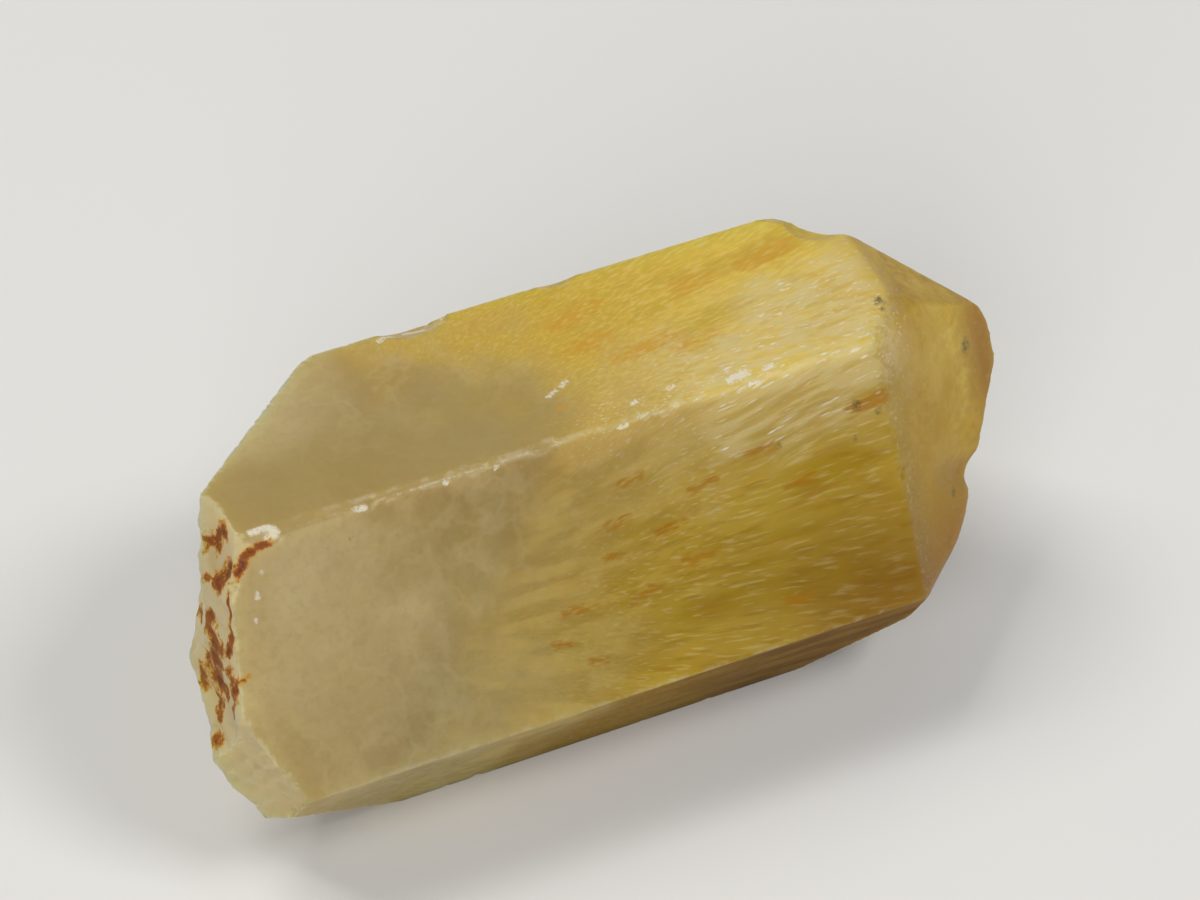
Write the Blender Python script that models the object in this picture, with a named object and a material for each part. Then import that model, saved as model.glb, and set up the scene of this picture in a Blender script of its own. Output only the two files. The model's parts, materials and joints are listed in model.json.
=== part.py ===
"""A mango quartz crystal, lying on one of its prism faces.

It is one natural piece: a six-sided quartz prism with its crystal axis along +X.
The +X end is the natural point, with six sloping faces. The -X end is broken, with
shell-shaped scars, and the edges are worn and chipped. Metres, +Z up, and the origin
is under the middle of the crystal, on the surface that it lies on.
"""
import math

import bmesh
import bpy
from mathutils import Matrix, Vector

MM = 0.001

# Prism faces: each key is the way the face looks, in degrees about the crystal axis
# (0 is -Y, 90 is up), and each value its distance from the axis in millimetres.
PRISM_FACES = {
    90: 6.93,      # top, level
    30: 5.93,      # front
    -30: 7.58,     # lower front
    -90: 6.93,     # bottom, the face that the crystal lies on
    -150: 5.93,    # lower back
    150: 7.58,     # upper back
}

# Faces of the natural point: the same keys, and the distance from the crystal's middle.
# In quartz each leans so that its normal is 51.8 degrees from the crystal axis.
POINT_LEAN = 51.8
POINT_FACES = {90: 12.54, 30: 10.76, -30: 12.15, -90: 9.39, -150: 9.77, 150: 11.87}

# Flats that wear and breakage have cut: the way each looks, and its distance from the
# crystal's middle in millimetres.
WORN_FLATS = {
    "ridge": ((-0.010, -0.500, 0.866), 7.41),
    "front_shoulder": ((0.549, -0.422, 0.722), 11.51),
    "back_shoulder": ((0.315, 0.389, 0.866), 10.61),
    "tip": ((0.940, 0.220, 0.260), 16.28),
}
BROKEN_FLATS = {
    "main_break": ((-0.972, -0.080, 0.220), 16.28),
    "back_corner": ((-0.644, 0.764, 0.040), 9.80),
    "ridge_corner": ((-0.435, -0.605, 0.667), 12.41),
    "front_corner": ((-0.835, -0.545, -0.073), 16.40),
    "under_corner": ((-0.652, 0.509, -0.562), 10.15),
    "bottom_corner": ((-0.451, 0.050, -0.891), 10.71),
    "low_edge": ((-0.200, -0.700, -0.685), 10.02),
}

# Shell-shaped scars on the broken end: the place on the surface, the way it looks, the
# radius of the scoop and how deep it bites, all in millimetres.
BREAK_SCARS = [
    ((-15.7, 0.4, 8.6), (-0.97, 0.10, 0.20), 9.0, 0.42),
    ((-15.9, -2.6, 7.4), (-0.99, -0.12, 0.05), 6.5, 0.24),
    ((-15.3, -1.5, 12.4), (-0.85, -0.10, 0.50), 4.2, 0.26),
    ((-15.4, -0.6, 11.9), (-0.92, 0.38, 0.05), 1.3, 0.30),
    ((-12.6, 2.4, 11.4), (-0.60, 0.78, 0.16), 8.0, 0.34),
    ((-11.7, 3.5, 7.2), (-0.66, 0.75, 0.02), 13.0, 0.72),
    ((-9.3, 5.4, 5.0), (-0.55, 0.80, -0.22), 6.0, 0.40),
    ((-13.2, 2.4, 5.2), (-0.72, 0.56, -0.40), 7.0, 0.60),
    ((-11.4, 3.2, 2.2), (-0.60, 0.50, -0.62), 5.0, 0.45),
    ((-8.9, 5.3, 12.9), (-0.50, 0.75, 0.42), 3.0, 0.22),
    ((-14.9, -3.4, 2.1), (-0.80, -0.20, -0.56), 3.4, 0.32),
    ((-13.4, -1.2, 1.0), (-0.45, 0.10, -0.88), 4.5, 0.35),
]

# Chips along the edges, in the same terms.
EDGE_CHIPS = [
    ((-13.3, -3.05, 13.75), (-0.25, -0.60, 0.76), 1.8, 0.22),
    ((-9.9, -2.95, 13.80), (0.10, -0.50, 0.86), 1.8, 0.15),
    ((-7.9, -2.95, 13.80), (-0.05, -0.62, 0.78), 2.6, 0.10),
    ((-5.6, -2.92, 13.80), (0.00, -0.55, 0.84), 1.6, 0.11),
    ((-2.9, -2.90, 13.82), (-0.10, -0.45, 0.88), 2.2, 0.12),
    ((1.4, -2.85, 13.83), (0.05, -0.46, 0.89), 2.4, 0.07),
    ((5.0, -2.80, 13.83), (0.00, -0.40, 0.92), 2.8, 0.08),
    ((-5.1, 4.62, 13.75), (0.05, 0.55, 0.83), 2.8, 0.20),
    ((0.9, 4.75, 13.80), (-0.10, 0.50, 0.86), 2.2, 0.10),
    ((10.3, 3.50, 13.70), (0.40, 0.45, 0.80), 1.6, 0.24),
    ((3.6, 7.75, 8.60), (0.00, 1.00, 0.05), 4.0, 0.26),
    ((-5.8, 7.70, 8.50), (-0.10, 0.98, 0.15), 2.6, 0.20),
    ((-3.4, 2.80, 0.05), (0.05, 0.50, -0.86), 2.6, 0.14),
    ((12.3, 5.80, 7.60), (0.70, 0.70, 0.00), 3.4, 0.32),
    ((11.6, 1.40, 1.60), (0.62, 0.10, -0.78), 4.2, 0.35),
]

# Side-by-side ridges on the front corner of the break, left between long shallow scoops.
HACKLES = 5
HACKLE_START = (-16.00, -4.75, 5.10)
HACKLE_STEP = (0.27, -0.38, -0.33)
HACKLE_GRAIN = (0.268, -0.519, 0.811)
HACKLE_RADIUS = 1.1
HACKLE_DEPTH = 0.12
HACKLE_STRETCH = 3.2

# The growth groove that notches the point's front face and fades out towards the prism.
GROOVE_PLACE = (13.50, -3.55, 6.50)
GROOVE_LOOKS = (0.665, -0.675, 0.320)
GROOVE_GRAIN = (-0.741, -0.337, 0.582)
GROOVE_RADIUS = 0.75
GROOVE_DEPTH = 0.22
GROOVE_STRETCH = 5.0

BLOCK_SIZE = 60.0         # the rough block that the faces are cut from
MIDDLE = Vector((0.0, 0.0, PRISM_FACES[-90])) * MM
SCOOP_SUBDIVISIONS = 4


def clear_scene():
    for old in list(bpy.data.objects):
        bpy.data.objects.remove(old, do_unlink=True)


def new_collection(name):
    collection = bpy.data.collections.new(name)
    bpy.context.scene.collection.children.link(collection)
    return collection


def prism_direction(turn):
    """The way a prism face looks, turned about the crystal axis."""
    angle = math.radians(turn)
    return Vector((0.0, -math.cos(angle), math.sin(angle)))


def point_direction(turn):
    """The way a face of the point looks, leaning from the crystal axis."""
    lean = math.radians(POINT_LEAN)
    return Vector((math.cos(lean), 0.0, 0.0)) + prism_direction(turn) * math.sin(lean)


def all_flats():
    """Every flat face of the crystal as a direction and a distance from its middle."""
    flats = [(prism_direction(turn), far) for turn, far in PRISM_FACES.items()]
    flats += [(point_direction(turn), far) for turn, far in POINT_FACES.items()]
    for worn in (WORN_FLATS, BROKEN_FLATS):
        flats += [(Vector(looks).normalized(), far) for looks, far in worn.values()]
    return flats


def cut_flat(block, direction, distance):
    """Slice off what lies beyond a plane, and close the cut with one flat face."""
    geometry = block.verts[:] + block.edges[:] + block.faces[:]
    sliced = bmesh.ops.bisect_plane(
        block, geom=geometry, plane_co=MIDDLE + direction * distance * MM,
        plane_no=direction, clear_outer=True)
    rim = [item for item in sliced["geom_cut"] if isinstance(item, bmesh.types.BMEdge)]
    bmesh.ops.contextual_create(block, geom=rim)


def quartz_material():
    material = bpy.data.materials.new("mango_quartz")
    material.use_nodes = True
    shader = material.node_tree.nodes["Principled BSDF"]
    shader.inputs["Base Color"].default_value = (0.60, 0.45, 0.17, 1.0)
    shader.inputs["Roughness"].default_value = 0.32
    shader.inputs["Metallic"].default_value = 0.0
    shader.inputs["IOR"].default_value = 1.54
    return material


def make_crystal(collection):
    """The faceted crystal, cut from a block one natural face at a time."""
    block = bmesh.new()
    bmesh.ops.create_cube(block, size=BLOCK_SIZE * MM)
    bmesh.ops.translate(block, verts=block.verts[:], vec=MIDDLE)
    for direction, distance in all_flats():
        cut_flat(block, direction, distance)
    bmesh.ops.recalc_face_normals(block, faces=block.faces[:])
    mesh = bpy.data.meshes.new("quartz_crystal")
    block.to_mesh(mesh)
    block.free()
    crystal = bpy.data.objects.new("quartz_crystal", mesh)
    collection.objects.link(crystal)
    mesh.materials.append(quartz_material())
    return crystal


def make_scoop(name, collection, place, looks, radius, depth, grain=(1, 0, 0), stretch=1.0):
    """A round cutter that bites to a depth at a place, stretched along the grain."""
    outward = Vector(looks).normalized()
    along = Vector(grain)
    along = (along - outward * along.dot(outward)).normalized()
    across = outward.cross(along)
    turn = Matrix((along, across, outward)).transposed().to_4x4()
    centre = (Vector(place) + outward * (radius - depth)) * MM
    ball = bmesh.new()
    bmesh.ops.create_icosphere(ball, subdivisions=SCOOP_SUBDIVISIONS, radius=radius * MM)
    bmesh.ops.scale(ball, vec=(stretch, 1.0, 1.0), verts=ball.verts[:])
    bmesh.ops.transform(ball, matrix=Matrix.Translation(centre) @ turn, verts=ball.verts[:])
    mesh = bpy.data.meshes.new(name)
    ball.to_mesh(mesh)
    ball.free()
    scoop = bpy.data.objects.new(name, mesh)
    scoop.hide_render = True
    scoop.display_type = "WIRE"
    collection.objects.link(scoop)
    return scoop


def make_scoops(collection):
    """All the cutters for the scars, chips, hackles and the groove."""
    for index, scar in enumerate(BREAK_SCARS):
        make_scoop(f"break_scar_{index}", collection, *scar)
    for index, chip in enumerate(EDGE_CHIPS):
        make_scoop(f"edge_chip_{index}", collection, *chip)
    front_corner = BROKEN_FLATS["front_corner"][0]
    for index in range(HACKLES):
        place = Vector(HACKLE_START) + Vector(HACKLE_STEP) * index
        make_scoop(f"hackle_{index}", collection, place, front_corner, HACKLE_RADIUS,
                   HACKLE_DEPTH, HACKLE_GRAIN, HACKLE_STRETCH)
    make_scoop("growth_groove", collection, GROOVE_PLACE, GROOVE_LOOKS, GROOVE_RADIUS,
               GROOVE_DEPTH, GROOVE_GRAIN, GROOVE_STRETCH)


def carve(crystal, scoops):
    """Take every scoop out of the crystal."""
    carving = crystal.modifiers.new("carving", "BOOLEAN")
    carving.operation = "DIFFERENCE"
    carving.solver = "EXACT"
    carving.operand_type = "COLLECTION"
    carving.collection = scoops


def main():
    clear_scene()
    part = new_collection("mango_quartz")
    scoops = new_collection("scoops")
    crystal = make_crystal(part)
    make_scoops(scoops)
    carve(crystal, scoops)


main()
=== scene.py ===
# %% [markdown]
# # A mango quartz crystal
#
# The real thing is one stubby quartz crystal about 33 mm long, lying on a long face.
# Its right end is the natural point, its left end is a rough break. The quartz is
# cloudy, and sprays of golden fibres inside it give the mango colour.
#
# The solid from the frame already has the true faces. This file gives that shape its
# fine wear, its colour and its light. Everything is worked out in millimetres, and the
# mesh is scaled to metres in the step that finishes it.

# %% Load the frame
import json
import math
import random

import bmesh
import bpy
import numpy as np
from mathutils import Matrix, Vector, noise
from mathutils.bvhtree import BVHTree
from mathutils.kdtree import KDTree

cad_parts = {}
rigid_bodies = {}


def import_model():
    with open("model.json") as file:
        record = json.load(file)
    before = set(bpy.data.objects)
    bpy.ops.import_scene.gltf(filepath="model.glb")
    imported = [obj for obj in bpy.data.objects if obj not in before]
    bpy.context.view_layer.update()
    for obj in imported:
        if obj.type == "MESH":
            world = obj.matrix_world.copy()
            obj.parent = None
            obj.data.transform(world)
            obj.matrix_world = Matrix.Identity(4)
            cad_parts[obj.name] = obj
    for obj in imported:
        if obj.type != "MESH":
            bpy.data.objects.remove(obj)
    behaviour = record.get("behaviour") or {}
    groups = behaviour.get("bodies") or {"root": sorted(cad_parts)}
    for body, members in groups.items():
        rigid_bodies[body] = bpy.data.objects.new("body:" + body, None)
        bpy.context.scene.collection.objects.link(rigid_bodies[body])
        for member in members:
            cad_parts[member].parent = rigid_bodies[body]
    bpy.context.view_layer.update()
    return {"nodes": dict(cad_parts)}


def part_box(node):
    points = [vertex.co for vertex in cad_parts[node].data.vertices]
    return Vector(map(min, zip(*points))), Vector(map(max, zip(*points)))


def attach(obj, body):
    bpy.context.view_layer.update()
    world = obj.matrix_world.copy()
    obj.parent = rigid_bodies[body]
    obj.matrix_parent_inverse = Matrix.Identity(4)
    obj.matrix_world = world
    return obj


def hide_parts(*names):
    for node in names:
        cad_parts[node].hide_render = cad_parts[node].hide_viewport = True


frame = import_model()
MM = 0.001
solid = frame["nodes"]["quartz_crystal"]
low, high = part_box("quartz_crystal")
print("crystal", [round(side / MM, 2) for side in high - low], "mm")

# %% [markdown]
# ## A clean copy of the solid
#
# The solid from the frame is loose triangles, so a copy of it is merged into one closed
# skin before anything else. The copy is kept as a search tree too: a later step asks it
# which way the true faces look.

# %% Merge a copy
TINY = 0.002

skin = bmesh.new()
skin.from_mesh(solid.data)
bmesh.ops.scale(skin, vec=(1 / MM, 1 / MM, 1 / MM), verts=skin.verts[:])
bmesh.ops.remove_doubles(skin, verts=skin.verts[:], dist=TINY)
bmesh.ops.recalc_face_normals(skin, faces=skin.faces[:])
true_faces = BVHTree.FromBMesh(skin)
print("merged skin", len(skin.verts), "points,", len(skin.faces), "faces")

# %% [markdown]
# Worn edges need to know where the edges are. Points are set along every edge where two
# faces meet at an angle, and a tree of those points tells how far any place is from one.

# %% Find the edges
EDGE_TURN = math.radians(15)
EDGE_STEP = 0.08

edge_points = []
for edge in skin.edges:
    if edge.calc_face_angle(0.0) > EDGE_TURN:
        start, end = (vert.co.copy() for vert in edge.verts)
        outward = (edge.link_faces[0].normal + edge.link_faces[1].normal).normalized()
        steps = max(1, round((end - start).length / EDGE_STEP))
        for step in range(steps + 1):
            edge_points.append((start.lerp(end, step / steps), outward))
edge_tree = KDTree(len(edge_points))
for index, (place, outward) in enumerate(edge_points):
    edge_tree.insert(place, index)
edge_tree.balance()
print(len(edge_points), "points along the edges")

# %% [markdown]
# ## Small even faces
#
# Fine wear needs small faces of one size everywhere. A Remesh modifier makes them. Its
# voxel mode would round the crystal's edges off, and its sharp mode puts points right
# on them, so the sharp mode is used.

# %% Remesh with sharp edges
REMESH_DEPTH = 8
REMESH_SHARE = 0.915

base_mesh = bpy.data.meshes.new("crystal_base")
skin.to_mesh(base_mesh)
skin.free()
base = bpy.data.objects.new("crystal_base", base_mesh)
bpy.context.collection.objects.link(base)
remesh = base.modifiers.new("small_faces", "REMESH")
remesh.mode = "SHARP"
remesh.octree_depth = REMESH_DEPTH
remesh.scale = REMESH_SHARE
remesh.sharpness = 1.0
evaluated = base.evaluated_get(bpy.context.evaluated_depsgraph_get())
small_faces = bpy.data.meshes.new_from_object(evaluated)
bpy.data.objects.remove(base)
print("remeshed to", len(small_faces.polygons), "faces")

# %% [markdown]
# The remesh leaves a few slivers, faces with no width that look nowhere. They are
# dissolved into their neighbours, which keeps the skin closed.

# %% Dissolve the slivers
SLIVER = 5 * TINY

skin = bmesh.new()
skin.from_mesh(small_faces)
bmesh.ops.dissolve_degenerate(skin, dist=SLIVER, edges=skin.edges[:])
bmesh.ops.recalc_face_normals(skin, faces=skin.faces[:])
open_edges = sum(not edge.is_manifold for edge in skin.edges)
print(len(skin.faces), "small faces, open edges:", open_edges)

# %% [markdown]
# ## Worn edges
#
# A crystal's edges are never knife-sharp: handling rounds them by a hair. Two places are
# worn far more: the long top edge where it nears the point, and the edges of the point
# itself, most of all at its front shoulder. The left stretch of the top edge is still
# crisp. How soft an edge is changes slowly along it, so no edge starts or ends at once.

# %% How soft each edge is
HAIR = 0.06
SOFT_BAND = 0.75
POINT_SOFTNESS = 0.5
SHOULDER_SOFTNESS = 0.40


def smooth_share(start, end, value):
    """0 up to start, 1 beyond end, and an S-curve between them."""
    share = np.clip((value - start) / (end - start), 0, 1)
    return share * share * (3 - 2 * share)


true_facing = np.array([true_faces.find_nearest(vert.co)[1] for vert in skin.verts])
edge_gap = np.array([edge_tree.find(vert.co)[2] for vert in skin.verts])
x, y, z = np.array([vert.co for vert in skin.verts]).T
top_edge = smooth_share(1.0, 5.5, x) * smooth_share(9.0, 12.0, z) * smooth_share(1.5, -1.0, y)
front_shoulder = (SHOULDER_SOFTNESS * smooth_share(2.5, 0.0, y)
                  * smooth_share(14.5, 12.5, x) * smooth_share(3.0, 6.0, z))
point_edges = (POINT_SOFTNESS + front_shoulder) * smooth_share(9.5, 11.5, x)
softness = np.maximum(top_edge, point_edges)
crisp = (z > 12.8) & (y < -1.8) & (x > -12.5) & (x < 1.5)
band = np.where(crisp, 0, HAIR) + SOFT_BAND * softness
print("points in the edges' bands", int((edge_gap < band).sum()))

# %% [markdown]
# Smoothing wears the edges down, in rounds: one round takes off a hair, and the softest
# edges get them all. An operator that moves points in place keeps every face.

# %% Round the edges
SOFT_ROUNDS = 30
SMOOTHING = 0.5

for turn in range(SOFT_ROUNDS):
    rubbed = (edge_gap < band) & (turn < 1 + (SOFT_ROUNDS - 1) * softness)
    near_edges = [vert for vert, chosen in zip(skin.verts, rubbed) if chosen]
    bmesh.ops.smooth_vert(skin, verts=near_edges, factor=SMOOTHING,
                          use_axis_x=True, use_axis_y=True, use_axis_z=True)
print(int(rubbed.sum()), "points on the softest edges")

# %% [markdown]
# ## Room to sculpt
#
# The rest of the shaping moves points one by one, so the points go into an array. Every
# move is inward: the crystal may lose material but not gain any.

# %% Points as an array
points = np.array([vert.co for vert in skin.verts])
print(len(points), "points")

# %% [markdown]
# ## Chips along the edges
#
# Quartz is hard and brittle, so a knock takes a flake off an edge. Each flake is a tiny
# flat cut: points that lie beyond the cut's plane, and close to its middle, are moved
# back onto the plane. The long top edge is the freshest, and has the smallest chips.

# %% Chip the edges
CHIPS = 200
CHIP_REACH = (0.20, 0.45)
CHIP_BITE = (0.004, 0.030)
CHIP_LEAN = 0.3
CHIP_RARITY = 3
TOP_EDGE_LEVEL = 13.0
TOP_EDGE_SHARE = 0.1
BREAK_END = -12.5


def cut_back(middle, outward, reach, bite):
    """Move the points beyond a plane, near its middle, back onto the plane."""
    offset = points - middle
    beyond = offset @ outward + bite
    chosen = (np.sum(offset * offset, axis=1) < reach * reach) & (beyond > 0)
    points[chosen] -= np.outer(beyond[chosen], outward)
    return int(chosen.sum())


def random_lean(draw, length):
    """A vector that points anywhere, of about this length."""
    return Vector((draw.gauss(0, 1), draw.gauss(0, 1), draw.gauss(0, 1))) * length


draw = random.Random(7)
moved = 0
for chip in range(CHIPS):
    place, outward = edge_points[draw.randrange(len(edge_points))]
    looks = (outward + random_lean(draw, CHIP_LEAN)).normalized()
    size = draw.random() ** CHIP_RARITY
    if place.z > TOP_EDGE_LEVEL and place.y < 0 and place.x > BREAK_END:
        size *= TOP_EDGE_SHARE
    reach = CHIP_REACH[0] + (CHIP_REACH[1] - CHIP_REACH[0]) * size
    bite = CHIP_BITE[0] + (CHIP_BITE[1] - CHIP_BITE[0]) * size
    moved += cut_back(np.array(place), np.array(looks), reach, bite)
print("chips moved", moved, "points")

# %% [markdown]
# ## The broken end
#
# The left end snapped off. First each point learns how far it belongs to the break: by
# the way its true face looks, fully inside the rim and half as much right at it. The low
# front corner, where the quartz came away in thin steps, gets a number of its own.

# %% Where the break is
BREAK_LOOKS = -0.15
BREAK_BLEND = 0.05
CORNER_LOOKS = -0.35
RIM_WIDTH = 0.35

broken = smooth_share(BREAK_LOOKS, BREAK_LOOKS - BREAK_BLEND, true_facing[:, 0])
inset = 0.5 + 0.5 * smooth_share(0.0, RIM_WIDTH, edge_gap)
corner = (smooth_share(BREAK_LOOKS, CORNER_LOOKS, true_facing[:, 0])
          * smooth_share(7.5, 6.2, points[:, 2]) * smooth_share(-12.8, -13.8, points[:, 0]))
print("points on the break", int((broken > 0).sum()))

# %% [markdown]
# The break is uneven: low shell ripples that spread from where it started, a fine rough
# grain over them, and the thin steps of the corner. All are small moves against the
# true face's direction, and they fade out where the smooth natural faces begin.

# %% Roughen the break
RIPPLE_START = Vector((-14.0, -2.5, 14.5))
RIPPLE_LENGTH = 0.95
RIPPLE_HEIGHT = 0.045
WANDER_PITCH = 0.3
WANDER = 1.6
GRAIN_SIZE = 0.9
GRAIN_NOISE = (0.8, 2.2, 4)
GRAIN_HEIGHT = 0.090
STEPS_ACROSS = Vector((-0.63, 0.45, 0.63))
STEP_LENGTH = 0.55
STEP_WANDER = 0.4
STEP_HEIGHT = 0.085
MEAN_DEPTH = 0.06

deepest = 0.0
for index in np.nonzero(broken > 0)[0]:
    place = Vector(points[index])
    away = (place - RIPPLE_START).length
    wander = noise.noise(place * WANDER_PITCH) * WANDER
    ripple = math.sin((away / RIPPLE_LENGTH + wander) * math.tau) * RIPPLE_HEIGHT
    grain = noise.fractal(place / GRAIN_SIZE, *GRAIN_NOISE) * GRAIN_HEIGHT
    tread = (place.dot(STEPS_ACROSS) / STEP_LENGTH + wander * STEP_WANDER) % 1.0
    step = tread * STEP_HEIGHT * corner[index]
    depth = max(0.0, MEAN_DEPTH - ripple - grain + step) * broken[index] * inset[index]
    points[index] -= true_facing[index] * depth
    deepest = max(deepest, depth)
print("deepest place in the break", round(float(deepest), 3), "mm")

# %% [markdown]
# The sculpted points go back into the skin, held inside the solid's own box. The skin is
# scaled to metres and becomes the piece that stands for the solid. Its place is in its
# mesh, so the piece itself is moved nowhere.

# %% Finish the crystal's mesh
SHARP_TURN = math.radians(38)

points = np.clip(points, np.array(low) / MM, np.array(high) / MM)
for vert, place in zip(skin.verts, points):
    vert.co = place
bmesh.ops.scale(skin, vec=(MM, MM, MM), verts=skin.verts[:])
bmesh.ops.recalc_face_normals(skin, faces=skin.faces[:])
crystal_mesh = bpy.data.meshes.new("mango_quartz")
skin.to_mesh(crystal_mesh)
skin.free()
crystal_mesh.shade_smooth()
crystal_mesh.set_sharp_from_angle(angle=SHARP_TURN)
crystal = bpy.data.objects.new("mango_quartz", crystal_mesh)
bpy.context.collection.objects.link(crystal)
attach(crystal, "root")
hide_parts("quartz_crystal")
print("crystal mesh", len(crystal_mesh.polygons), "faces")

# %% [markdown]
# ## Where the colours lie
#
# The golden colour is a cloud of fibres inside the quartz, thick at the point and gone
# near the break. Seen through the top face it starts further right than through the
# front face, so each way of facing has its own border, and soft noise frays them both. A
# thin golden veil also runs along the back edge of the top face.
#
# Zones have soft borders. Each border below is a pair of places in mm along the
# crystal's own axes, or a pair of slopes: where the zone starts and where it is full.

# %% Golden zones
CLOUD_PITCH = 0.30
CLOUD_NOISE = (0.8, 2.0, 3)
VEIL_SHARE = 0.40

x, y, z = points.T
skin_normals = np.array([vert.normal for vert in crystal_mesh.vertices])
clouds = np.array([noise.fractal(Vector(place) * CLOUD_PITCH, *CLOUD_NOISE) for place in points])
looks_up = smooth_share(0.55, 0.95, skin_normals[:, 2])
looks_down = smooth_share(-0.15, -0.45, skin_normals[:, 2])
front_border = 0.6 - 0.60 * (13.6 - z)
top_border = -1.7 - 0.74 * y
gold_front = smooth_share(-6.5, 5.0, x - front_border + clouds * 2.5)
gold_top = smooth_share(-5.0, 4.0, x - top_border + clouds * 3.0)
veil = smooth_share(-12.0, -4.0, x) * smooth_share(1.5, 4.5, y + clouds)
gold_top = np.maximum(gold_top, VEIL_SHARE * veil)
gold = gold_front + (gold_top - gold_front) * looks_up
print("gold share", round(float(gold.mean()), 2))

# %% [markdown]
# Low down the gold deepens to amber, and where a face looks down it is darkened to amber
# as painted shade. At the top edge near the point the fibres lie so close under the
# surface that they look like a white feather, partly a painted sheen. The haze is darkest,
# a painted shade, in the left half of the top face, and palest at the break; low down the
# pale haze fades, a painted shade that darkens towards the bottom.

# %% Amber, feather and haze zones
amber = smooth_share(0.0, 9.0, x + clouds * 2.0) * smooth_share(11.5, 5.0, z)
# Faces that look down are darkened towards amber: painted shade.
painted_shade_below = looks_down * (0.5 + 0.5 * smooth_share(-13.0, -2.0, x))
feather_rim = 0.4 + 0.30 * np.clip(x - 4.0, 0, 8)
feather_and_sheen = (smooth_share(-1.5, 5.0, x + clouds * 2.0) * smooth_share(12.6, 10.5, x)
           * smooth_share(1.6, -1.2, y - feather_rim + clouds * 1.5)
           * smooth_share(10.4, 12.6, z + clouds))
shade = smooth_share(1.5, -2.5, x - top_border) * smooth_share(3.0, -1.0, y + clouds) * looks_up
pale = np.maximum(smooth_share(-6.0, -12.5, x + clouds * 2.0), broken) * (1 - 0.6 * shade)
# Low down the pale haze fades: painted shade, darker towards the bottom.
pale *= 0.45 + 0.55 * smooth_share(4.0, 11.0, z)
print("feather share", round(float(feather_and_sheen.mean()), 3), "pale share", round(float(pale.mean()), 2))

# %% [markdown]
# The point has colours of its own. Its hem, where it meets the long faces, is deeper.
# Its low part and tip are darkened as painted shade, and so is its shoulder, the facet
# that looks up and to the right. Faces that look down under the golden end carry painted
# shade, and the right part of the top face a painted highlight. Edges rubbed white are
# marked too. Every point of the mesh carries all these numbers, and the material reads them.

# %% Hand the zones to the mesh
RUBBED_WIDTH = (0.16, 0.02)


def mark(name, values):
    """Give each point of the crystal's mesh a number, for a material to read."""
    layer = crystal_mesh.attributes.new(name, "FLOAT", "POINT")
    layer.data.foreach_set("value", np.asarray(values, np.float32))


zones = {
    "gold": gold,
    # amber low down, and painted shade on faces that look down
    "amber": np.maximum(amber, painted_shade_below),
    # the white feather by the top edge, partly a painted sheen
    "feather_and_sheen": feather_and_sheen,
    "shade": shade,
    "upper": looks_up,
    "height": smooth_share(3.0, 12.0, z),
    "corner": corner,
    "hem": smooth_share(14.2, 12.0, x + clouds),
    # the point's low part and far tip are darker: painted shade
    "shade_low_and_tip": np.maximum(smooth_share(8.5, 4.5, z), smooth_share(14.2, 15.8, x)),
    # faces that look down, under the golden end: painted shade
    "shade_under": looks_down * smooth_share(-3.0, 5.0, x),
    "beneath": looks_down,
    # the point's facet that looks up and to the right is darker: painted shade
    "shoulder_shade": (smooth_share(0.60, 0.75, skin_normals[:, 2])
                 * smooth_share(0.3, 0.5, skin_normals[:, 0])),
    "pale": pale,
    "point": smooth_share(9.8, 11.5, x),
    "edge": (smooth_share(*RUBBED_WIDTH, edge_gap) * smooth_share(-12.8, -11.5, x)
             * smooth_share(10.0, 8.5, x)),
    # the right part, painted brighter on the top face: painted highlight
    "sunlit_right": smooth_share(-1.0, 7.0, x + clouds * 2.0),
    "broken": broken,
}
for name, values in zones.items():
    mark(name, values)
print(len(zones), "zones marked")

# %% [markdown]
# ## Strokes: iron stains, clots, chips and painted glints
#
# Many marks on the quartz are short strokes: a line with a half width. A point carries
# how near it is to the nearest stroke of a kind, and the material gives that a ragged
# rim. Painting the mesh this way needs no image, and it travels with the piece.

# %% How near a stroke is
STROKE_DEPTH = (0.8, 1.5)
FIBRE_APEX = (-18.5, -2.5, 8.0)


def near_line(start, end, half_width, through=None):
    """How near each point is to a line: 1 on it, 0 at twice its half width.

    A stroke with a direction to go through marks the face a little above or below it too.
    """
    start, along = np.array(start), np.array(end) - np.array(start)
    offset = points - start
    near = 1.0
    if through is not None:
        depth = offset @ np.array(through)
        near = smooth_share(STROKE_DEPTH[1], STROKE_DEPTH[0], np.abs(depth))
        offset = offset - np.outer(depth, through)
        along = along - np.dot(along, through) * np.array(through)
    share = np.clip((offset @ along) / max(along @ along, TINY), 0, 1)
    gap = np.linalg.norm(offset - np.outer(share, along), axis=1)
    return near * (1 - np.clip(gap / (2 * half_width), 0, 1))


def near_path(half_width, *path, through=None):
    """How near each point is to a line through several places."""
    pieces = zip(path, path[1:])
    return np.max([near_line(start, end, half_width, through) for start, end in pieces], axis=0)


def along_fibres(half_width, length, place):
    """A stroke of one length that runs with the fibres."""
    half = (Vector(place) - Vector(FIBRE_APEX)).normalized() * length / 2
    return near_line(Vector(place) - half, Vector(place) + half, half_width)


fan_start = float(low[0]) / MM - FIBRE_APEX[0]
print("the fibres' fan starts", round(fan_start, 1), "mm beyond the left end")

# %% [markdown]
# Rust-coloured water dried in the cracks of the break, and stained a little of the
# ripples around each. A row is a half width, and then the places on the crack's path.

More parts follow.
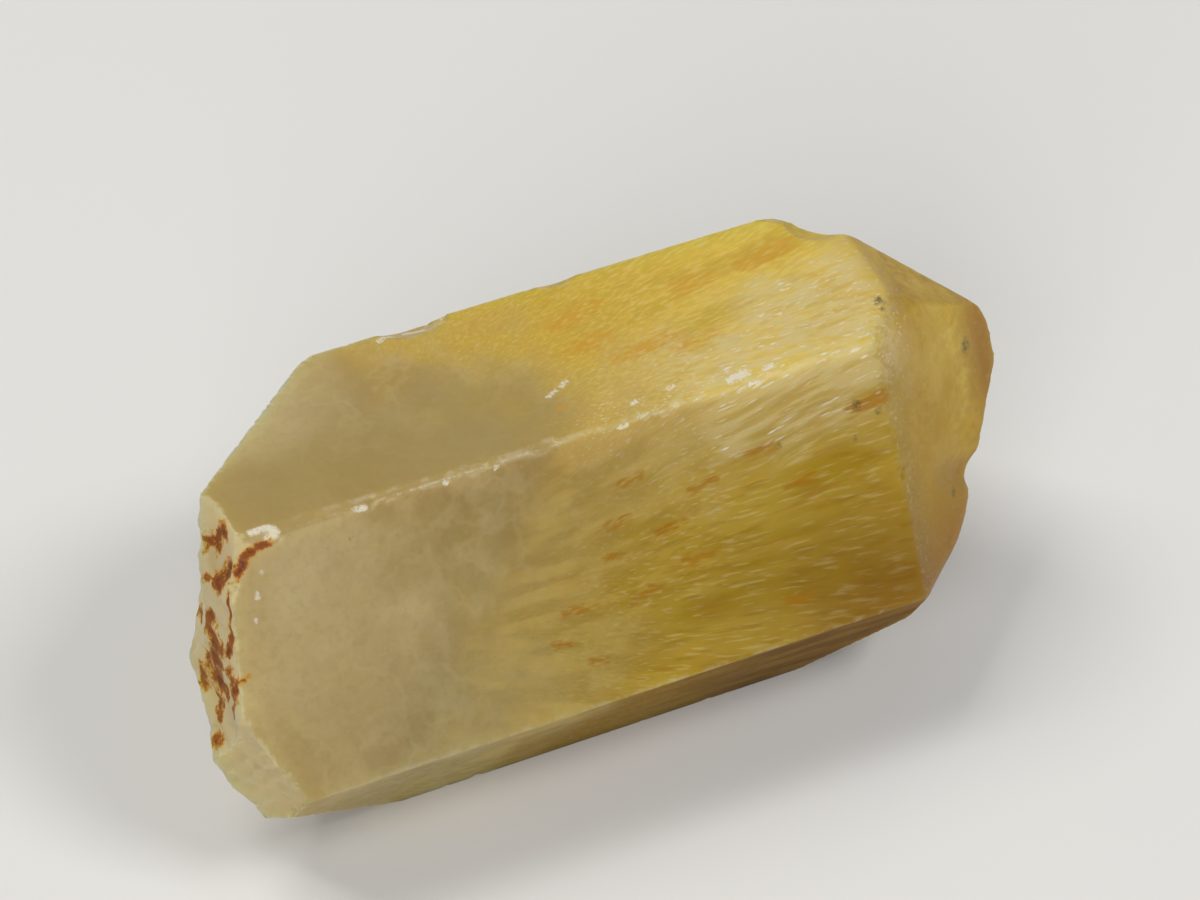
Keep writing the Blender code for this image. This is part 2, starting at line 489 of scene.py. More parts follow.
# %% Iron stains
STAINS = [
    (0.28, (-15.12, -1.04, 12.31), (-14.77, -1.41, 12.89), (-14.61, -1.65, 13.36)),
    (0.22, (-14.91, -1.44, 12.47), (-14.95, -1.50, 12.40)),
    (0.16, (-13.99, -3.08, 13.44), (-14.21, -3.12, 13.37), (-14.48, -3.10, 13.26),
     (-14.87, -3.34, 12.78)),
    (0.30, (-14.96, -2.74, 12.51), (-15.12, -2.72, 12.16), (-15.27, -2.56, 11.93),
     (-15.29, -2.72, 11.90)),
    (0.14, (-15.61, -1.63, 11.25), (-15.42, -2.13, 11.75)),
    (0.09, (-15.18, -3.33, 12.50), (-15.50, -4.04, 10.87), (-15.50, -4.10, 10.79)),
    (0.17, (-15.50, -4.10, 10.79), (-15.56, -4.42, 10.53), (-15.69, -4.14, 9.96)),
    (0.24, (-15.42, -0.26, 8.33), (-15.50, -0.95, 8.68)),
    (0.22, (-15.66, -2.70, 10.53), (-15.68, -2.72, 10.45)),
    (0.42, (-15.79, -2.71, 10.12), (-15.86, -3.35, 9.54)),
    (0.52, (-15.86, -3.10, 9.54), (-15.65, -2.62, 8.01), (-15.65, -2.45, 7.28)),
    (0.22, (-15.75, -3.76, 9.89), (-15.75, -3.40, 9.60)),
    (0.30, (-15.80, -1.86, 6.97), (-15.90, -1.83, 6.35)),
    (0.36, (-15.64, -2.55, 7.24), (-15.59, -3.22, 7.17)),
    (0.24, (-15.71, -2.90, 6.55), (-15.85, -3.17, 5.89)),
    (0.26, (-15.81, -4.63, 9.32), (-15.76, -5.01, 9.20), (-15.84, -5.10, 8.80),
     (-15.77, -4.70, 7.50)),
    (0.16, (-15.55, -5.20, 9.60), (-15.80, -5.00, 9.10)),
    (0.20, (-16.24, -3.51, 4.91), (-16.05, -3.74, 5.35)),
]
BREAK_FACING = Vector((-0.93, -0.35, 0.10)).normalized()

mark("stain", np.max([near_path(*stain, through=BREAK_FACING) for stain in STAINS], axis=0))
print(len(STAINS), "stains")

# %% [markdown]
# Here and there the fibres clot into small brown knots, drawn out along the fan: a half
# width, a length and a middle each. A few dark specks of dirt sit in pits.

# %% Knots and specks
CLOTS = [
    (0.20, 1.0, (0.9, -5.0, 10.1)), (0.18, 0.8, (-1.0, -4.6, 10.8)), (0.20, 0.9, (2.4, -4.4, 11.1)),
    (0.18, 0.8, (-0.2, -3.9, 12.0)), (0.16, 0.6, (-1.4, -5.2, 9.8)), (0.18, 0.9, (-0.4, -6.0, 8.4)),
    (0.20, 1.2, (-3.0, -6.0, 8.5)), (0.16, 0.6, (-2.8, -7.0, 6.7)), (0.16, 0.6, (-4.0, -6.5, 7.6)),
    (0.12, 0.5, (-1.6, -1.3, 13.9)), (0.26, 1.6, (9.2, -3.9, 12.0)), (0.20, 0.9, (5.1, -7.1, 6.6)),
    (0.20, 1.1, (4.8, -4.1, 11.6)), (0.24, 1.0, (1.7, -5.7, 8.9)), (0.20, 1.0, (6.0, -4.9, 10.3)),
    (0.45, 2.2, (8.4, 3.0, 13.9)), (0.40, 1.6, (5.2, 2.6, 13.9)), (0.45, 2.0, (0.6, 2.8, 13.9)),
    (0.40, 1.8, (0.5, 1.3, 13.9)), (0.40, 2.6, (2.4, 0.3, 13.9)), (0.35, 1.6, (4.1, -0.2, 13.9)),
]
SPECKS = [
    ((11.0, -0.9, 13.8), 0.24), ((8.7, -3.9, 12.1), 0.20), ((9.5, -4.1, 11.7), 0.14),
    ((14.8, -0.6, 9.8), 0.30), ((12.6, -4.5, 6.6), 0.20), ((5.5, -4.2, 11.6), 0.12),
    ((8.4, -4.5, 11.1), 0.12), ((11.0, -1.3, 13.8), 0.16), ((-10.6, -3.4, 12.9), 0.10),
]

mark("clot", np.max([along_fibres(*knot) for knot in CLOTS], axis=0))
mark("speck", np.max([near_line(place, place, width) for place, width in SPECKS], axis=0))
print(len(CLOTS), "knots,", len(SPECKS), "specks")

# %% [markdown]
# Fresh chips look frosted white, and some strokes here are painted glints, white
# highlights by the top edge. Most lie on the long top edge, and a few on the back edge
# and at the front corner of the break.

# %% Frosted chips
FROSTED_AND_GLINTS = [
    (0.12, (-14.01, -2.58, 13.81), (-13.57, -2.58, 13.83), (-13.28, -2.60, 13.83)),
    (0.17, (-13.48, -2.90, 13.55), (-13.17, -2.79, 13.72)),
    (0.08, (-13.97, -3.48, 12.76), (-13.97, -3.50, 12.70)),
    (0.11, (-14.33, -3.85, 12.12), (-14.35, -3.90, 12.00)),
    (0.08, (-14.58, -4.30, 11.35), (-14.60, -4.35, 11.30)),
    (0.11, (-10.24, -2.91, 13.69), (-9.86, -2.89, 13.66)),
    (0.09, (-6.88, -2.95, 13.67), (-6.80, -2.95, 13.67)),
    (0.09, (-4.99, -2.96, 13.66), (-4.90, -2.96, 13.66)),
    # from this row on, the strokes are painted glints: white highlights of small facets
    (0.09, (-1.95, -0.66, 13.86), (-1.55, -0.45, 13.86)),
    (0.09, (-1.35, -0.38, 13.86), (-1.04, -0.17, 13.86)),
    (0.09, (-0.23, -2.93, 13.68), (0.10, -2.92, 13.70)),
    (0.09, (0.60, -2.20, 13.86), (0.90, -2.10, 13.86)),
    (0.09, (2.07, -2.00, 13.86), (2.36, -1.96, 13.86)),
    (0.18, (4.34, -2.49, 13.84), (5.00, -2.35, 13.85)),
    (0.12, (4.99, -2.88, 13.68), (5.27, -2.87, 13.71)),
    (0.10, (4.30, -1.99, 13.86), (4.56, -1.94, 13.86)),
    (0.12, (5.65, -2.47, 13.85), (6.00, -2.41, 13.86)),
    (0.12, (-6.31, 4.42, 13.86), (-5.74, 4.69, 13.60)),
    (0.14, (-5.18, 4.84, 13.40), (-4.50, 4.58, 13.57)),
]

mark("frost_and_glint", np.max([near_path(*chip) for chip in FROSTED_AND_GLINTS], axis=0))
print(len(FROSTED_AND_GLINTS), "frosted chips")

# %% [markdown]
# ## The fibres inside
#
# The gold comes from sprays of hair-thin fibres that grew inside the quartz, most of
# them close under its faces. Each fibre has to lie wholly inside the worn skin, so a
# search tree of that skin tells whether a place does.

# %% Room for fibres
SKIN_DEPTH = 0.08

corners = [tuple(face.vertices) for face in crystal_mesh.polygons]
worn_skin = BVHTree.FromPolygons(points.tolist(), corners)


def is_inside(place):
    """True where a place lies in the quartz, deeper than the thinnest skin."""
    nearest, outward, _, _ = worn_skin.find_nearest(place)
    return (place - nearest).dot(outward) < -SKIN_DEPTH


print("the middle is inside:", is_inside(Vector(points.mean(axis=0))))

# %% [markdown]
# Curves or particles could draw the fibres, but only plain mesh travels to other
# programs. So each fibre is a tiny ball of 20 faces drawn out into a spindle that points
# away from the fan's start. The more golden a place is, the more fibres start there. An
# operator slows down as its mesh grows, so they are made a batch at a time.

# %% Spray of fibres
FIBRES = 2600
BATCH = 200
GOLD_PULL = 1.5
FIBRE_LENGTH = (0.6, 3.4)
FIBRE_SHARE = (0.4, 1.0)
FIBRE_WIDTH = (0.018, 0.045)
FIBRE_DEPTH = 0.6
FIBRE_STRAY = 0.05

draw = random.Random(23)
tones = []
spray = bmesh.new()
while len(tones) < FIBRES:
    batch = bmesh.new()
    goal = min(FIBRES, len(tones) + BATCH)
    while len(tones) < goal:
        index = draw.randrange(len(points))
        if draw.random() > gold[index] ** GOLD_PULL:
            continue
        depth = SKIN_DEPTH + draw.expovariate(1 / FIBRE_DEPTH)
        middle = Vector(points[index]) - Vector(skin_normals[index]) * depth
        aim = (middle - Vector(FIBRE_APEX)).normalized()
        aim = (aim + random_lean(draw, FIBRE_STRAY)).normalized()
        half = draw.uniform(*FIBRE_LENGTH) * draw.uniform(*FIBRE_SHARE) / 2
        if is_inside(middle - aim * half) and is_inside(middle + aim * half):
            width = draw.uniform(*FIBRE_WIDTH)
            turn = aim.to_track_quat("X", "Z")
            spindle = Matrix.LocRotScale(middle, turn, (half, width, width))
            bmesh.ops.create_icosphere(batch, subdivisions=1, radius=1.0, matrix=spindle)
            tones.append(draw.random())
    batch_mesh = bpy.data.meshes.new("fibre_batch")
    batch.to_mesh(batch_mesh)
    batch.free()
    spray.from_mesh(batch_mesh)
    bpy.data.meshes.remove(batch_mesh)
print(len(tones), "fibres,", len(spray.faces), "faces")

# %% [markdown]
# Each fibre carries one random number, its tone, which later picks its colour. The spray
# is scaled to metres and rides with the crystal.

# %% Finish the fibres' mesh
points_each = len(spray.verts) // FIBRES
bmesh.ops.scale(spray, vec=(MM, MM, MM), verts=spray.verts[:])
spray_mesh = bpy.data.meshes.new("golden_fibres")
spray.to_mesh(spray_mesh)
spray.free()
spray_mesh.shade_smooth()
tone_layer = spray_mesh.attributes.new("tone", "FLOAT", "POINT")
tone_layer.data.foreach_set("value", np.repeat(np.array(tones, np.float32), points_each))
fibres = bpy.data.objects.new("golden_fibres", spray_mesh)
bpy.context.collection.objects.link(fibres)
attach(fibres, "root")
print("points in a fibre", points_each)

# %% [markdown]
# ## Shader sums
#
# A material is a graph of nodes. To keep its sums readable, a small class stands for
# one socket and turns Python's operators into Math nodes.

# %% A socket that can be added and multiplied


class Value:
    """The number, colour or vector that comes out of a shader socket."""

    def __init__(self, paint, socket):
        self.paint, self.socket = paint, socket

    def sum(self, operation, first, second):
        """A Math node fed by two numbers or sockets."""
        return self.paint.node("ShaderNodeMath", {"operation": operation}, {0: first, 1: second})

    def __add__(self, other):
        return self.sum("ADD", self, other)

    def __sub__(self, other):
        return self.sum("SUBTRACT", self, other)

    def __mul__(self, other):
        return self.sum("MULTIPLY", self, other)

    def __truediv__(self, other):
        return self.sum("DIVIDE", self, other)

    def __rsub__(self, other):
        return self.sum("SUBTRACT", other, self)

    __radd__ = __add__
    __rmul__ = __mul__

    def ramp(self, start, end):
        """0 at start, 1 at end, smooth between."""
        return self.paint.node("ShaderNodeMapRange", {"interpolation_type": "SMOOTHSTEP"},
                               {"Value": self, "From Min": start, "From Max": end})


print("shader numbers understand + - * / and ramps")

# %% [markdown]
# A second small class holds one material: it adds nodes, mixes colours, reads the
# numbers that the mesh carries, and sets or links the Principled shader's sockets.

# %% A material and its nodes


class Paint:
    """A material with one Principled shader, and the nodes that feed it."""

    def __init__(self, name):
        self.material = bpy.data.materials.new(name)
        self.material.use_nodes = True
        self.tree = self.material.node_tree
        self.shader = self.tree.nodes["Principled BSDF"]

    def node(self, kind, settings=None, sockets=None, out=0):
        """Add a node: its settings are made first, then its sockets are set or linked."""
        made = self.tree.nodes.new(kind)
        for name, setting in (settings or {}).items():
            setattr(made, name, setting)
        for name, value in (sockets or {}).items():
            self.feed(made.inputs[name], value)
        return Value(self, made.outputs[out])

    def feed(self, socket, value):
        """Link a value to a socket, or set the socket to a plain number."""
        if isinstance(value, Value):
            self.tree.links.new(value.socket, socket)
        else:
            socket.default_value = value

    def mix(self, share, first, second):
        """Mix two colours: the first at share 0, the second at share 1."""
        made = self.tree.nodes.new("ShaderNodeMix")
        made.data_type = "RGBA"
        self.feed(made.inputs["Factor"], share)
        colours = [socket for socket in made.inputs if socket.type == "RGBA"]
        for socket, colour in zip(colours, (first, second)):
            self.feed(socket, colour if isinstance(colour, Value) else (*colour, 1.0))
        return Value(self, next(socket for socket in made.outputs if socket.type == "RGBA"))

    def vector(self, operation, first, second, scale=1.0):
        """A Vector Math node."""
        return self.node("ShaderNodeVectorMath", {"operation": operation},
                         {0: first, 1: second, 3: scale})

    def marked(self, name):
        """A number that each point of the mesh carries."""
        return self.node("ShaderNodeAttribute", {"attribute_name": name}, out="Fac")

    def surface(self, sockets):
        """Set or link the Principled shader's own sockets."""
        for name, value in sockets.items():
            self.feed(self.shader.inputs[name], value)


quartz = Paint("mango_quartz")
print("material", quartz.material.name)

# %% [markdown]
# ## The fibres' fan
#
# The fibres fan out from a place behind the break. Dividing a point's sideways distance
# by its distance along the crystal gives every fibre one constant pair of numbers, so
# noise on that pair runs in streaks along the fan. A slow drift bends them a little.

# %% Streaks along the fan
FAN_REACH = 19.0
BEND_SIZE = 9.0
BEND = 0.9
SEED_SHIFT = (7.3, 5.1, 3.7)

metres = quartz.node("ShaderNodeTexCoord", out="Object")
place = quartz.vector("SCALE", metres, (0, 0, 0), 1 / MM)
drift = quartz.node("ShaderNodeTexNoise", {},
                    {"Vector": place, "Scale": 1 / BEND_SIZE, "Detail": 1.0}, out="Color")
bend = quartz.vector("SCALE", quartz.vector("SUBTRACT", drift, (0.5, 0.5, 0.5)), (0, 0, 0), BEND)
from_apex = quartz.vector("SUBTRACT", quartz.vector("ADD", place, bend), FIBRE_APEX)
along, across, above = (
    quartz.node("ShaderNodeSeparateXYZ", {}, {"Vector": from_apex}, out=side) for side in "XYZ")


def fan(width, length):
    """Coordinates in which a streak of this width and length in mm is one unit each way."""
    return quartz.node("ShaderNodeCombineXYZ", {}, {
        "X": along / length,
        "Y": across / along * (FAN_REACH / width),
        "Z": above / along * (FAN_REACH / width)})


def cloud(size, detail=2.0, rough=0.5, seed=0.0, where=place):
    """Soft noise of one size in mm, or of one unit of other coordinates."""
    shifted = quartz.vector("ADD", where, tuple(seed * side for side in SEED_SHIFT))
    return quartz.node("ShaderNodeTexNoise", {}, {
        "Vector": shifted, "Scale": 1 / size, "Detail": detail, "Roughness": rough})


def streaks(width, length, seed):
    """Noise drawn out along the fan, of a width and length in mm."""
    return cloud(1.0, 1.5, 0.5, seed, fan(width, length))


broad = streaks(0.8, 9.0, 4.0)
middle = streaks(0.20, 3.0, 1.0)
fine = streaks(0.10, 3.2, 9.0)
print("streaks made in", len(quartz.tree.nodes), "nodes")

# %% [markdown]
# ## The quartz itself
#
# Cloudy quartz lets some light straight through and scatters the rest. A part of the
# surface is clear glass of quartz's index, and the rest is a soft body that carries the
# colour of the cloud under it. By the break that is a hazy grey-beige, and wisps and
# fine grain of several sizes break it up, as no natural haze is even.
#
# Each mix lays a colour over those before it. A ramp turns noise into cover, and the
# factor after it is the most that the layer can cover.

# %% Haze colours
HAZE = (0.405, 0.290, 0.090)
HAZE_PALE = (0.69, 0.58, 0.30)
HAZE_SHADE = (0.41, 0.30, 0.070)
HAZE_DARK = (0.34, 0.235, 0.060)
HAZE_YELLOW = (0.70, 0.54, 0.19)

marked, mix = quartz.marked, quartz.mix
gold_here = marked("gold")
amber_and_shade_here = marked("amber")
feather_and_sheen_here = marked("feather_and_sheen")
haze = mix(cloud(4.0, 3.0).ramp(0.40, 0.66) * 0.35 + marked("pale") * 0.65, HAZE, HAZE_PALE)
haze = mix(cloud(1.1, 5.0, 0.65, 23.0).ramp(0.45, 0.72) * 0.30, haze, HAZE_PALE)
haze = mix(cloud(0.35, 4.0, 0.70, 27.0).ramp(0.42, 0.70) * 0.24, haze, HAZE_DARK)
wisp = cloud(2.4, 3.0, 0.6, 41.0)
haze = mix(wisp.ramp(0.445, 0.50) * wisp.ramp(0.555, 0.50) * 0.22, haze, HAZE_PALE)
haze = mix(marked("shade") * 0.7, haze, HAZE_SHADE)
haze = mix(marked("corner") * 0.8, haze, HAZE_YELLOW)
print("nodes up to the haze:", len(quartz.tree.nodes))

# %% [markdown]
# Golden quartz is many streaks over each other: broad pale and deep bands, then hair-thin
# silk. The top face is lit from above and looks brighter, so it has its own lighter golds,
# a painted highlight that is brightest on its right part. Amber fills the depths, and as
# painted shade the faces that look down.

# %% Golden colours
GOLD = (0.50, 0.325, 0.010)
GOLD_PALE = (0.68, 0.49, 0.07)
GOLD_DEEP = (0.42, 0.23, 0.002)
GOLD_TOP = (0.82, 0.59, 0.035)
GOLD_TOP_DEEP = (0.74, 0.46, 0.010)
GOLD_SUNLIT = (1.00, 0.76, 0.080)
AMBER = (0.27, 0.125, 0.001)
SILK = (0.80, 0.68, 0.32)

golden = mix(broad.ramp(0.36, 0.64) * 0.55, GOLD, GOLD_PALE)
golden = mix(middle.ramp(0.48, 0.70) * 0.50, golden, GOLD_DEEP)
top = mix(broad.ramp(0.42, 0.60) * 0.7, GOLD_TOP, GOLD_TOP_DEEP)
# The right part of the top face is painted brighter gold: painted highlight.
top = mix(marked("sunlit_right") * broad.ramp(0.36, 0.60) * 0.8, top, GOLD_SUNLIT)
golden = mix(marked("upper") * (0.50 + fine.ramp(0.40, 0.60) * 0.25), golden, top)
# Amber here is deeper gold low down, and painted shade where a face looks down.
golden = mix(amber_and_shade_here * 0.8, golden, AMBER)
golden = mix(fine.ramp(0.52, 0.76) * (0.42 - amber_and_shade_here * 0.24), golden, SILK)
print("nodes up to the gold:", len(quartz.tree.nodes))

# %% [markdown]
# The point is paler and smoother than the long faces, with a deeper hem, a low part and
# tip darkened as painted shade, and painted shade on its shoulder. Faces that look down
# are the deepest amber, a painted shade.

# %% Colours of the point and of the faces below
TIP = (0.74, 0.47, 0.008)
TIP_PALE = (0.95, 0.74, 0.15)
TIP_DEEP = (0.42, 0.18, 0.001)
TIP_SHADE = (0.42, 0.25, 0.03)
AMBER_SHADE = (0.16, 0.065, 0.001)

pale_tip = cloud(1.6, 3.0, 0.6, 8.0).ramp(0.35, 0.65) * 0.65 + 0.30
shoulder_shade_noise = cloud(0.9, 4.0, 0.65, 33.0).ramp(0.30, 0.70) * 0.6 + 0.3
tip = mix(pale_tip * marked("height"), TIP, TIP_PALE)
tip = mix(marked("hem") * (middle.ramp(0.30, 0.70) * 0.30 + 0.22), tip, TIP_DEEP)
# The point's low part and far tip are darkened: painted shade.
tip = mix(marked("shade_low_and_tip") * 0.88, tip, TIP_DEEP)
# Painted shade on the shoulder facet.
tip = mix(marked("shoulder_shade") * shoulder_shade_noise, tip, TIP_SHADE)
golden = mix(marked("point") * (0.55 + middle.ramp(0.35, 0.65) * 0.35), golden, tip)
# Faces that look down under the golden end go deep amber: painted shade.
golden = mix(marked("shade_under") * (broad.ramp(0.62, 0.38) * 0.5 + 0.4), golden, AMBER_SHADE)
print("nodes up to the point:", len(quartz.tree.nodes))

# %% [markdown]
# The gold then lies over the haze by how golden each place is. Where it is thin it looks
# like a pale veil, and the feather by the top edge is nearly white silk, partly a
# painted sheen.

# %% Gold over haze
GOLD_VEIL = (0.72, 0.54, 0.16)

body = mix(gold_here, haze, golden)
thin_gold = gold_here.ramp(0.02, 0.35) * gold_here.ramp(0.98, 0.45) * (1 - marked("upper"))
body = mix(thin_gold * (broad.ramp(0.40, 0.60) * 0.30 + 0.18), body, GOLD_VEIL)
# The feather's white silk is partly a painted sheen.
body = mix(feather_and_sheen_here * (middle.ramp(0.35, 0.62) * 0.45 + 0.35), body, SILK)
print("nodes up to the body:", len(quartz.tree.nodes))

# %% [markdown]
# Over the body come the small marks. First those of the fibres: brown knots, painted
# lighter on the top face as a painted highlight, and near the top edge short white dashes,
# which are painted glints, and longer pale hairs, which all run along the fan. The top
# edge runs straight along the crystal, at one y and one z, so the distance from it is a
# shader sum and needs no mark on the mesh.

# %% Knots, dashes and hairs
CLOT = (0.50, 0.230, 0.001)
CLOT_LIT = (0.72, 0.38, 0.004)
WHITE = (0.95, 0.93, 0.84)
RIDGE_AT = (-2.86, 13.76)
DASH_WIDTH = 0.20
DASH_LENGTH = 1.4

clot = marked("clot") * (1 + (streaks(0.12, 1.8, 3.0) - 0.5) * 4.0)
# On the top face the knots take a lighter copy: painted highlight.
clot_here = mix(marked("upper"), CLOT, CLOT_LIT)
body = mix(clot.ramp(0.25, 1.00) * 0.75, body, clot_here)
across_only = quartz.vector("MULTIPLY", place, (0, 1, 1))
from_ridge = quartz.node("ShaderNodeVectorMath", {"operation": "DISTANCE"},
                         {0: across_only, 1: (0.0, *RIDGE_AT)}, out="Value")
silky = feather_and_sheen_here + (1 - feather_and_sheen_here) * (1 - from_ridge.ramp(0.4, 2.0)) * gold_here
dash_fan = fan(DASH_WIDTH, DASH_LENGTH)
cell = quartz.node("ShaderNodeTexVoronoi", {}, {"Vector": dash_fan, "Scale": 1.0})
cell_colour = Value(quartz, cell.socket.node.outputs["Color"])
chance = quartz.node("ShaderNodeSeparateColor", {}, {"Color": cell_colour})
patches = cloud(1.3, 2.0, 0.5, 21.0).ramp(0.38, 0.54)
# The dashes are painted glints: white highlights of small facets near the top edge.
glint_dash = (1 - cell.ramp(0.08, 0.20)) * chance.ramp(0.40, 0.50) * silky * patches
hair = streaks(0.08, 4.0, 16.0).ramp(0.60, 0.72) * silky * 0.5
body = mix(hair, body, WHITE)
body = mix(glint_dash * 0.85, body, WHITE)
print("dashes", DASH_LENGTH, "mm long at most")

# %% [markdown]
# Then those of wear and the painted glints: the white dotted line of the long top edge,
# partly a painted highlight, rubbed edges, and fresh chips and painted glints, whose rims
# are torn along the fibres. The broken face is paler all over.

# %% White edges and chips
BREAK_PALE = (0.90, 0.80, 0.50)

torn = 1 + (cloud(0.14, 3.0, 0.65) - 0.5) * 3.0
ridge_dots_and_highlight = cloud(0.35, 3.0, 0.7, 14.0).ramp(0.44, 0.60) * gold_here.ramp(0.95, 0.45)
# The white dotted line of the top edge is partly a painted highlight.
body = mix((1 - from_ridge.ramp(0.01, 0.08)) * ridge_dots_and_highlight * 0.32, body, WHITE)
rubbed = marked("edge") * cloud(0.5, 2.0, 0.6, 5.0).ramp(0.45, 0.62)
body = mix(rubbed * 0.18, body, WHITE)
scratch = 1 + (streaks(0.06, 0.45, 31.0) - 0.5) * 4.0
frost_and_glint = (marked("frost_and_glint") * (scratch * 0.4 + torn * 0.6)).ramp(0.34, 0.72)
# Frosted chips, and painted glints that are white highlights.
body = mix(frost_and_glint * 0.75, body, WHITE)
body = mix(marked("broken") * 0.35, body, BREAK_PALE)
print("nodes up to the white marks:", len(quartz.tree.nodes))

# %% [markdown]
# Last come rust and dirt. A stain has a pale rim, a rusty body and a dark heart, and
# noise makes its border ragged. The dark specks are small enough to need only a blot.

# %% Rust and soot
RUST_PALE = (0.66, 0.34, 0.01)
RUST = (0.31, 0.080, 0.001)
RUST_DARK = (0.11, 0.022, 0.001)
SOOT = (0.11, 0.085, 0.035)

soaked = marked("stain")
stain = soaked + (cloud(0.45, 4.0, 0.65, 11.0) - 0.5) * 2.6 * soaked.ramp(0.02, 0.35)
body = mix(stain.ramp(0.30, 0.52) * 0.9, body, RUST_PALE)
body = mix(stain.ramp(0.50, 0.75), body, RUST)
body = mix(stain.ramp(0.85, 1.20) * 0.8, body, RUST_DARK)
body = mix((marked("speck") * torn).ramp(0.25, 1.0) * 0.8, body, SOOT)
quartz.surface({"Base Color": body})
print("nodes up to the rust:", len(quartz.tree.nodes))

# %% [markdown]
# The faces have a satin gloss. The break, the stains, the point and the long top edge
# are duller, and the faces that look down are nearly matt. The gloss is set lower than
# clean quartz has, because its skin is etched and handled. A very low bump gives the
# silk of the fibres and the grain of the etched faces.

# %% Gloss and fine relief
SATIN = 0.30
GLOSS_LEVEL = 0.30
RELIEF_STRENGTH = 0.35
RELIEF_HEIGHT = 0.00004

gloss = cloud(0.8, 3.0, 0.6, 2.0).ramp(0.3, 0.7) * 0.08 + SATIN + marked("broken") * 0.08
gloss = gloss + marked("beneath") * 0.62 + (1 - from_ridge.ramp(0.0, 0.7)) * 0.20
gloss = gloss + stain.ramp(0.30, 0.60) * 0.30 + marked("point") * 0.15
relief = cloud(0.30, 4.0, 0.65, 6.0) * 0.35 + middle * gold_here * 0.5 + fine * feather_and_sheen_here * 0.8
bumped = quartz.node("ShaderNodeBump", {}, {
    "Strength": RELIEF_STRENGTH, "Distance": RELIEF_HEIGHT, "Height": relief})
quartz.surface({"Roughness": gloss, "Normal": bumped, "Specular IOR Level": GLOSS_LEVEL})
print("roughness", SATIN, "and up")

# %% [markdown]
# Under the skin, part of the light goes straight through and part scatters a few
# millimetres deep, red light the furthest. What goes through is tinted amber by the
# depth it crosses, so thick places look warmer than thin edges.

# %% Clearness and depth
INDEX_OF_QUARTZ = 1.54
CLEAR_SHARE = 0.40
SCATTERED_SHARE = 0.85
SCATTER_SPREAD = (1.0, 0.65, 0.25)
SCATTER_DEPTH = 0.0035
DEPTH_TINT = (0.90, 0.62, 0.12)
TINT_DENSITY = 90.0

quartz.surface({
    "IOR": INDEX_OF_QUARTZ,
    "Transmission Weight": CLEAR_SHARE,
    "Subsurface Weight": SCATTERED_SHARE,
    "Subsurface Radius": SCATTER_SPREAD,
    "Subsurface Scale": SCATTER_DEPTH})
tint = quartz.node("ShaderNodeVolumeAbsorption", {}, {
    "Color": (*DEPTH_TINT, 1.0), "Density": TINT_DENSITY})
quartz.feed(quartz.tree.nodes["Material Output"].inputs["Volume"], tint)
crystal_mesh.materials.clear()
crystal_mesh.materials.append(quartz.material)
print(len(quartz.tree.nodes), "nodes in the quartz")

# %% [markdown]
# The fibres are plain dull threads. The tone of each picks silky white, gold, amber or,
# for a few, rusty brown.

# %% Fibre colours
THREAD_SILK = (0.95, 0.86, 0.55)
THREAD_GOLD = (0.92, 0.62, 0.08)
THREAD_AMBER = (0.66, 0.33, 0.02)
THREAD_RUST = (0.32, 0.11, 0.005)
THREAD_ROUGHNESS = 0.5

thread = Paint("golden_fibres")
tone = thread.marked("tone")
thread_colour = thread.mix(tone.ramp(0.15, 0.35), THREAD_SILK, THREAD_GOLD)
thread_colour = thread.mix(tone.ramp(0.60, 0.80), thread_colour, THREAD_AMBER)
thread_colour = thread.mix(tone.ramp(0.90, 1.00), thread_colour, THREAD_RUST)
thread.surface({"Base Color": thread_colour, "Roughness": THREAD_ROUGHNESS})
spray_mesh.materials.append(thread.material)
print("fibres painted")

# %% [markdown]
# ## Floor, light and camera
#
# The crystal lies on a sheet of plain pale matt paper, under soft studio light.

# %% Floor
FLOOR_SIDE = 1.2
PAPER = (0.64, 0.635, 0.62)
PAPER_ROUGHNESS = 0.8

floor_net = bmesh.new()
bmesh.ops.create_grid(floor_net, x_segments=1, y_segments=1, size=FLOOR_SIDE / 2)
floor_mesh = bpy.data.meshes.new("floor")
floor_net.to_mesh(floor_mesh)
floor_net.free()
floor = bpy.data.objects.new("floor", floor_mesh)
bpy.context.collection.objects.link(floor)
paper = Paint("pale_floor")
paper.surface({"Base Color": (*PAPER, 1.0), "Roughness": PAPER_ROUGHNESS})
floor_mesh.materials.append(paper.material)
print("floor", FLOOR_SIDE, "m")

# %% [markdown]
# Four soft lights stand round it: a key behind on the left, a slightly stronger fill in
# front on the left, a glint in front on the right that brightens the top face and the
# point, and a faint sheen behind on the right. A dim even sky lifts the shadows. Each
# light is a name, a place in metres, a width, a power and a colour.

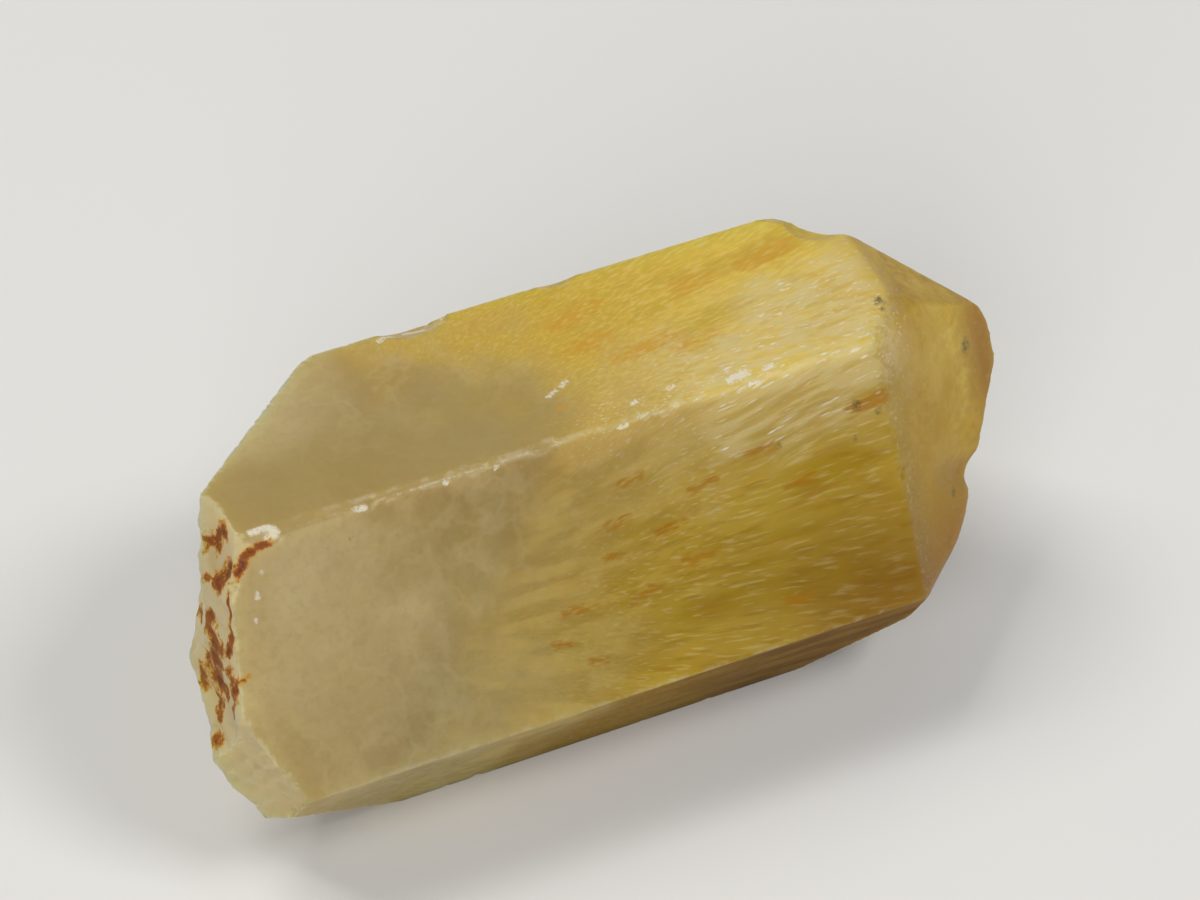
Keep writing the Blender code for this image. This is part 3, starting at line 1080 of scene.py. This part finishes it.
# %% Lights
LIT_PLACE = Vector((0, 0, 0.007))
LIGHTS = [
    ("key", (-0.12, 0.16, 0.36), 0.20, 0.90, (1.0, 0.98, 0.94)),
    ("fill", (-0.24, -0.32, 0.24), 0.26, 1.08, (0.98, 0.99, 1.0)),
    ("glint", (0.17, -0.17, 0.33), 0.12, 0.66, (1.0, 0.99, 0.97)),
    ("sheen", (0.16, 0.30, 0.30), 0.16, 0.10, (1.0, 0.99, 0.97)),
]
SKY = (0.95, 0.97, 1.0)
SKY_STRENGTH = 0.16

for name, place, width, power, colour in LIGHTS:
    lamp = bpy.data.lights.new(name, "AREA")
    lamp.size = width
    lamp.energy = power
    lamp.color = colour
    holder = bpy.data.objects.new(name, lamp)
    holder.location = place
    holder.rotation_euler = (LIT_PLACE - Vector(place)).to_track_quat("-Z", "Y").to_euler()
    bpy.context.collection.objects.link(holder)
world = bpy.data.worlds.new("studio")
world.use_nodes = True
sky = world.node_tree.nodes["Background"]
sky.inputs["Color"].default_value = (*SKY, 1.0)
sky.inputs["Strength"].default_value = SKY_STRENGTH
bpy.context.scene.world = world
bpy.context.scene.view_settings.view_transform = "Standard"
print("lights", [light.name for light in bpy.data.lights])

# %% [markdown]
# A long lens looks down at the crystal from the front left, as one holds a specimen to
# look at it: far enough away that its parallel edges stay nearly parallel.

# %% Camera
CAMERA_TURN = math.radians(-24.0)
CAMERA_RISE = math.radians(45.0)
CAMERA_AIM = Vector((-1.131, -3.339, 13.321)) * MM
CAMERA_FAR = 0.17606
CAMERA_LENS = 150.0
CAMERA_SENSOR = 36.0
CAMERA_NEAR = 0.01

backward = Vector((math.sin(CAMERA_TURN) * math.cos(CAMERA_RISE),
                   -math.cos(CAMERA_TURN) * math.cos(CAMERA_RISE),
                   math.sin(CAMERA_RISE)))
eye = bpy.data.cameras.new("camera")
eye.lens = CAMERA_LENS
eye.sensor_width = CAMERA_SENSOR
eye.clip_start = CAMERA_NEAR
camera = bpy.data.objects.new("camera", eye)
camera.location = CAMERA_AIM + backward * CAMERA_FAR
camera.rotation_euler = backward.to_track_quat("Z", "Y").to_euler()
bpy.context.collection.objects.link(camera)
bpy.context.scene.camera = camera
print("camera at", [round(side, 3) for side in camera.location])
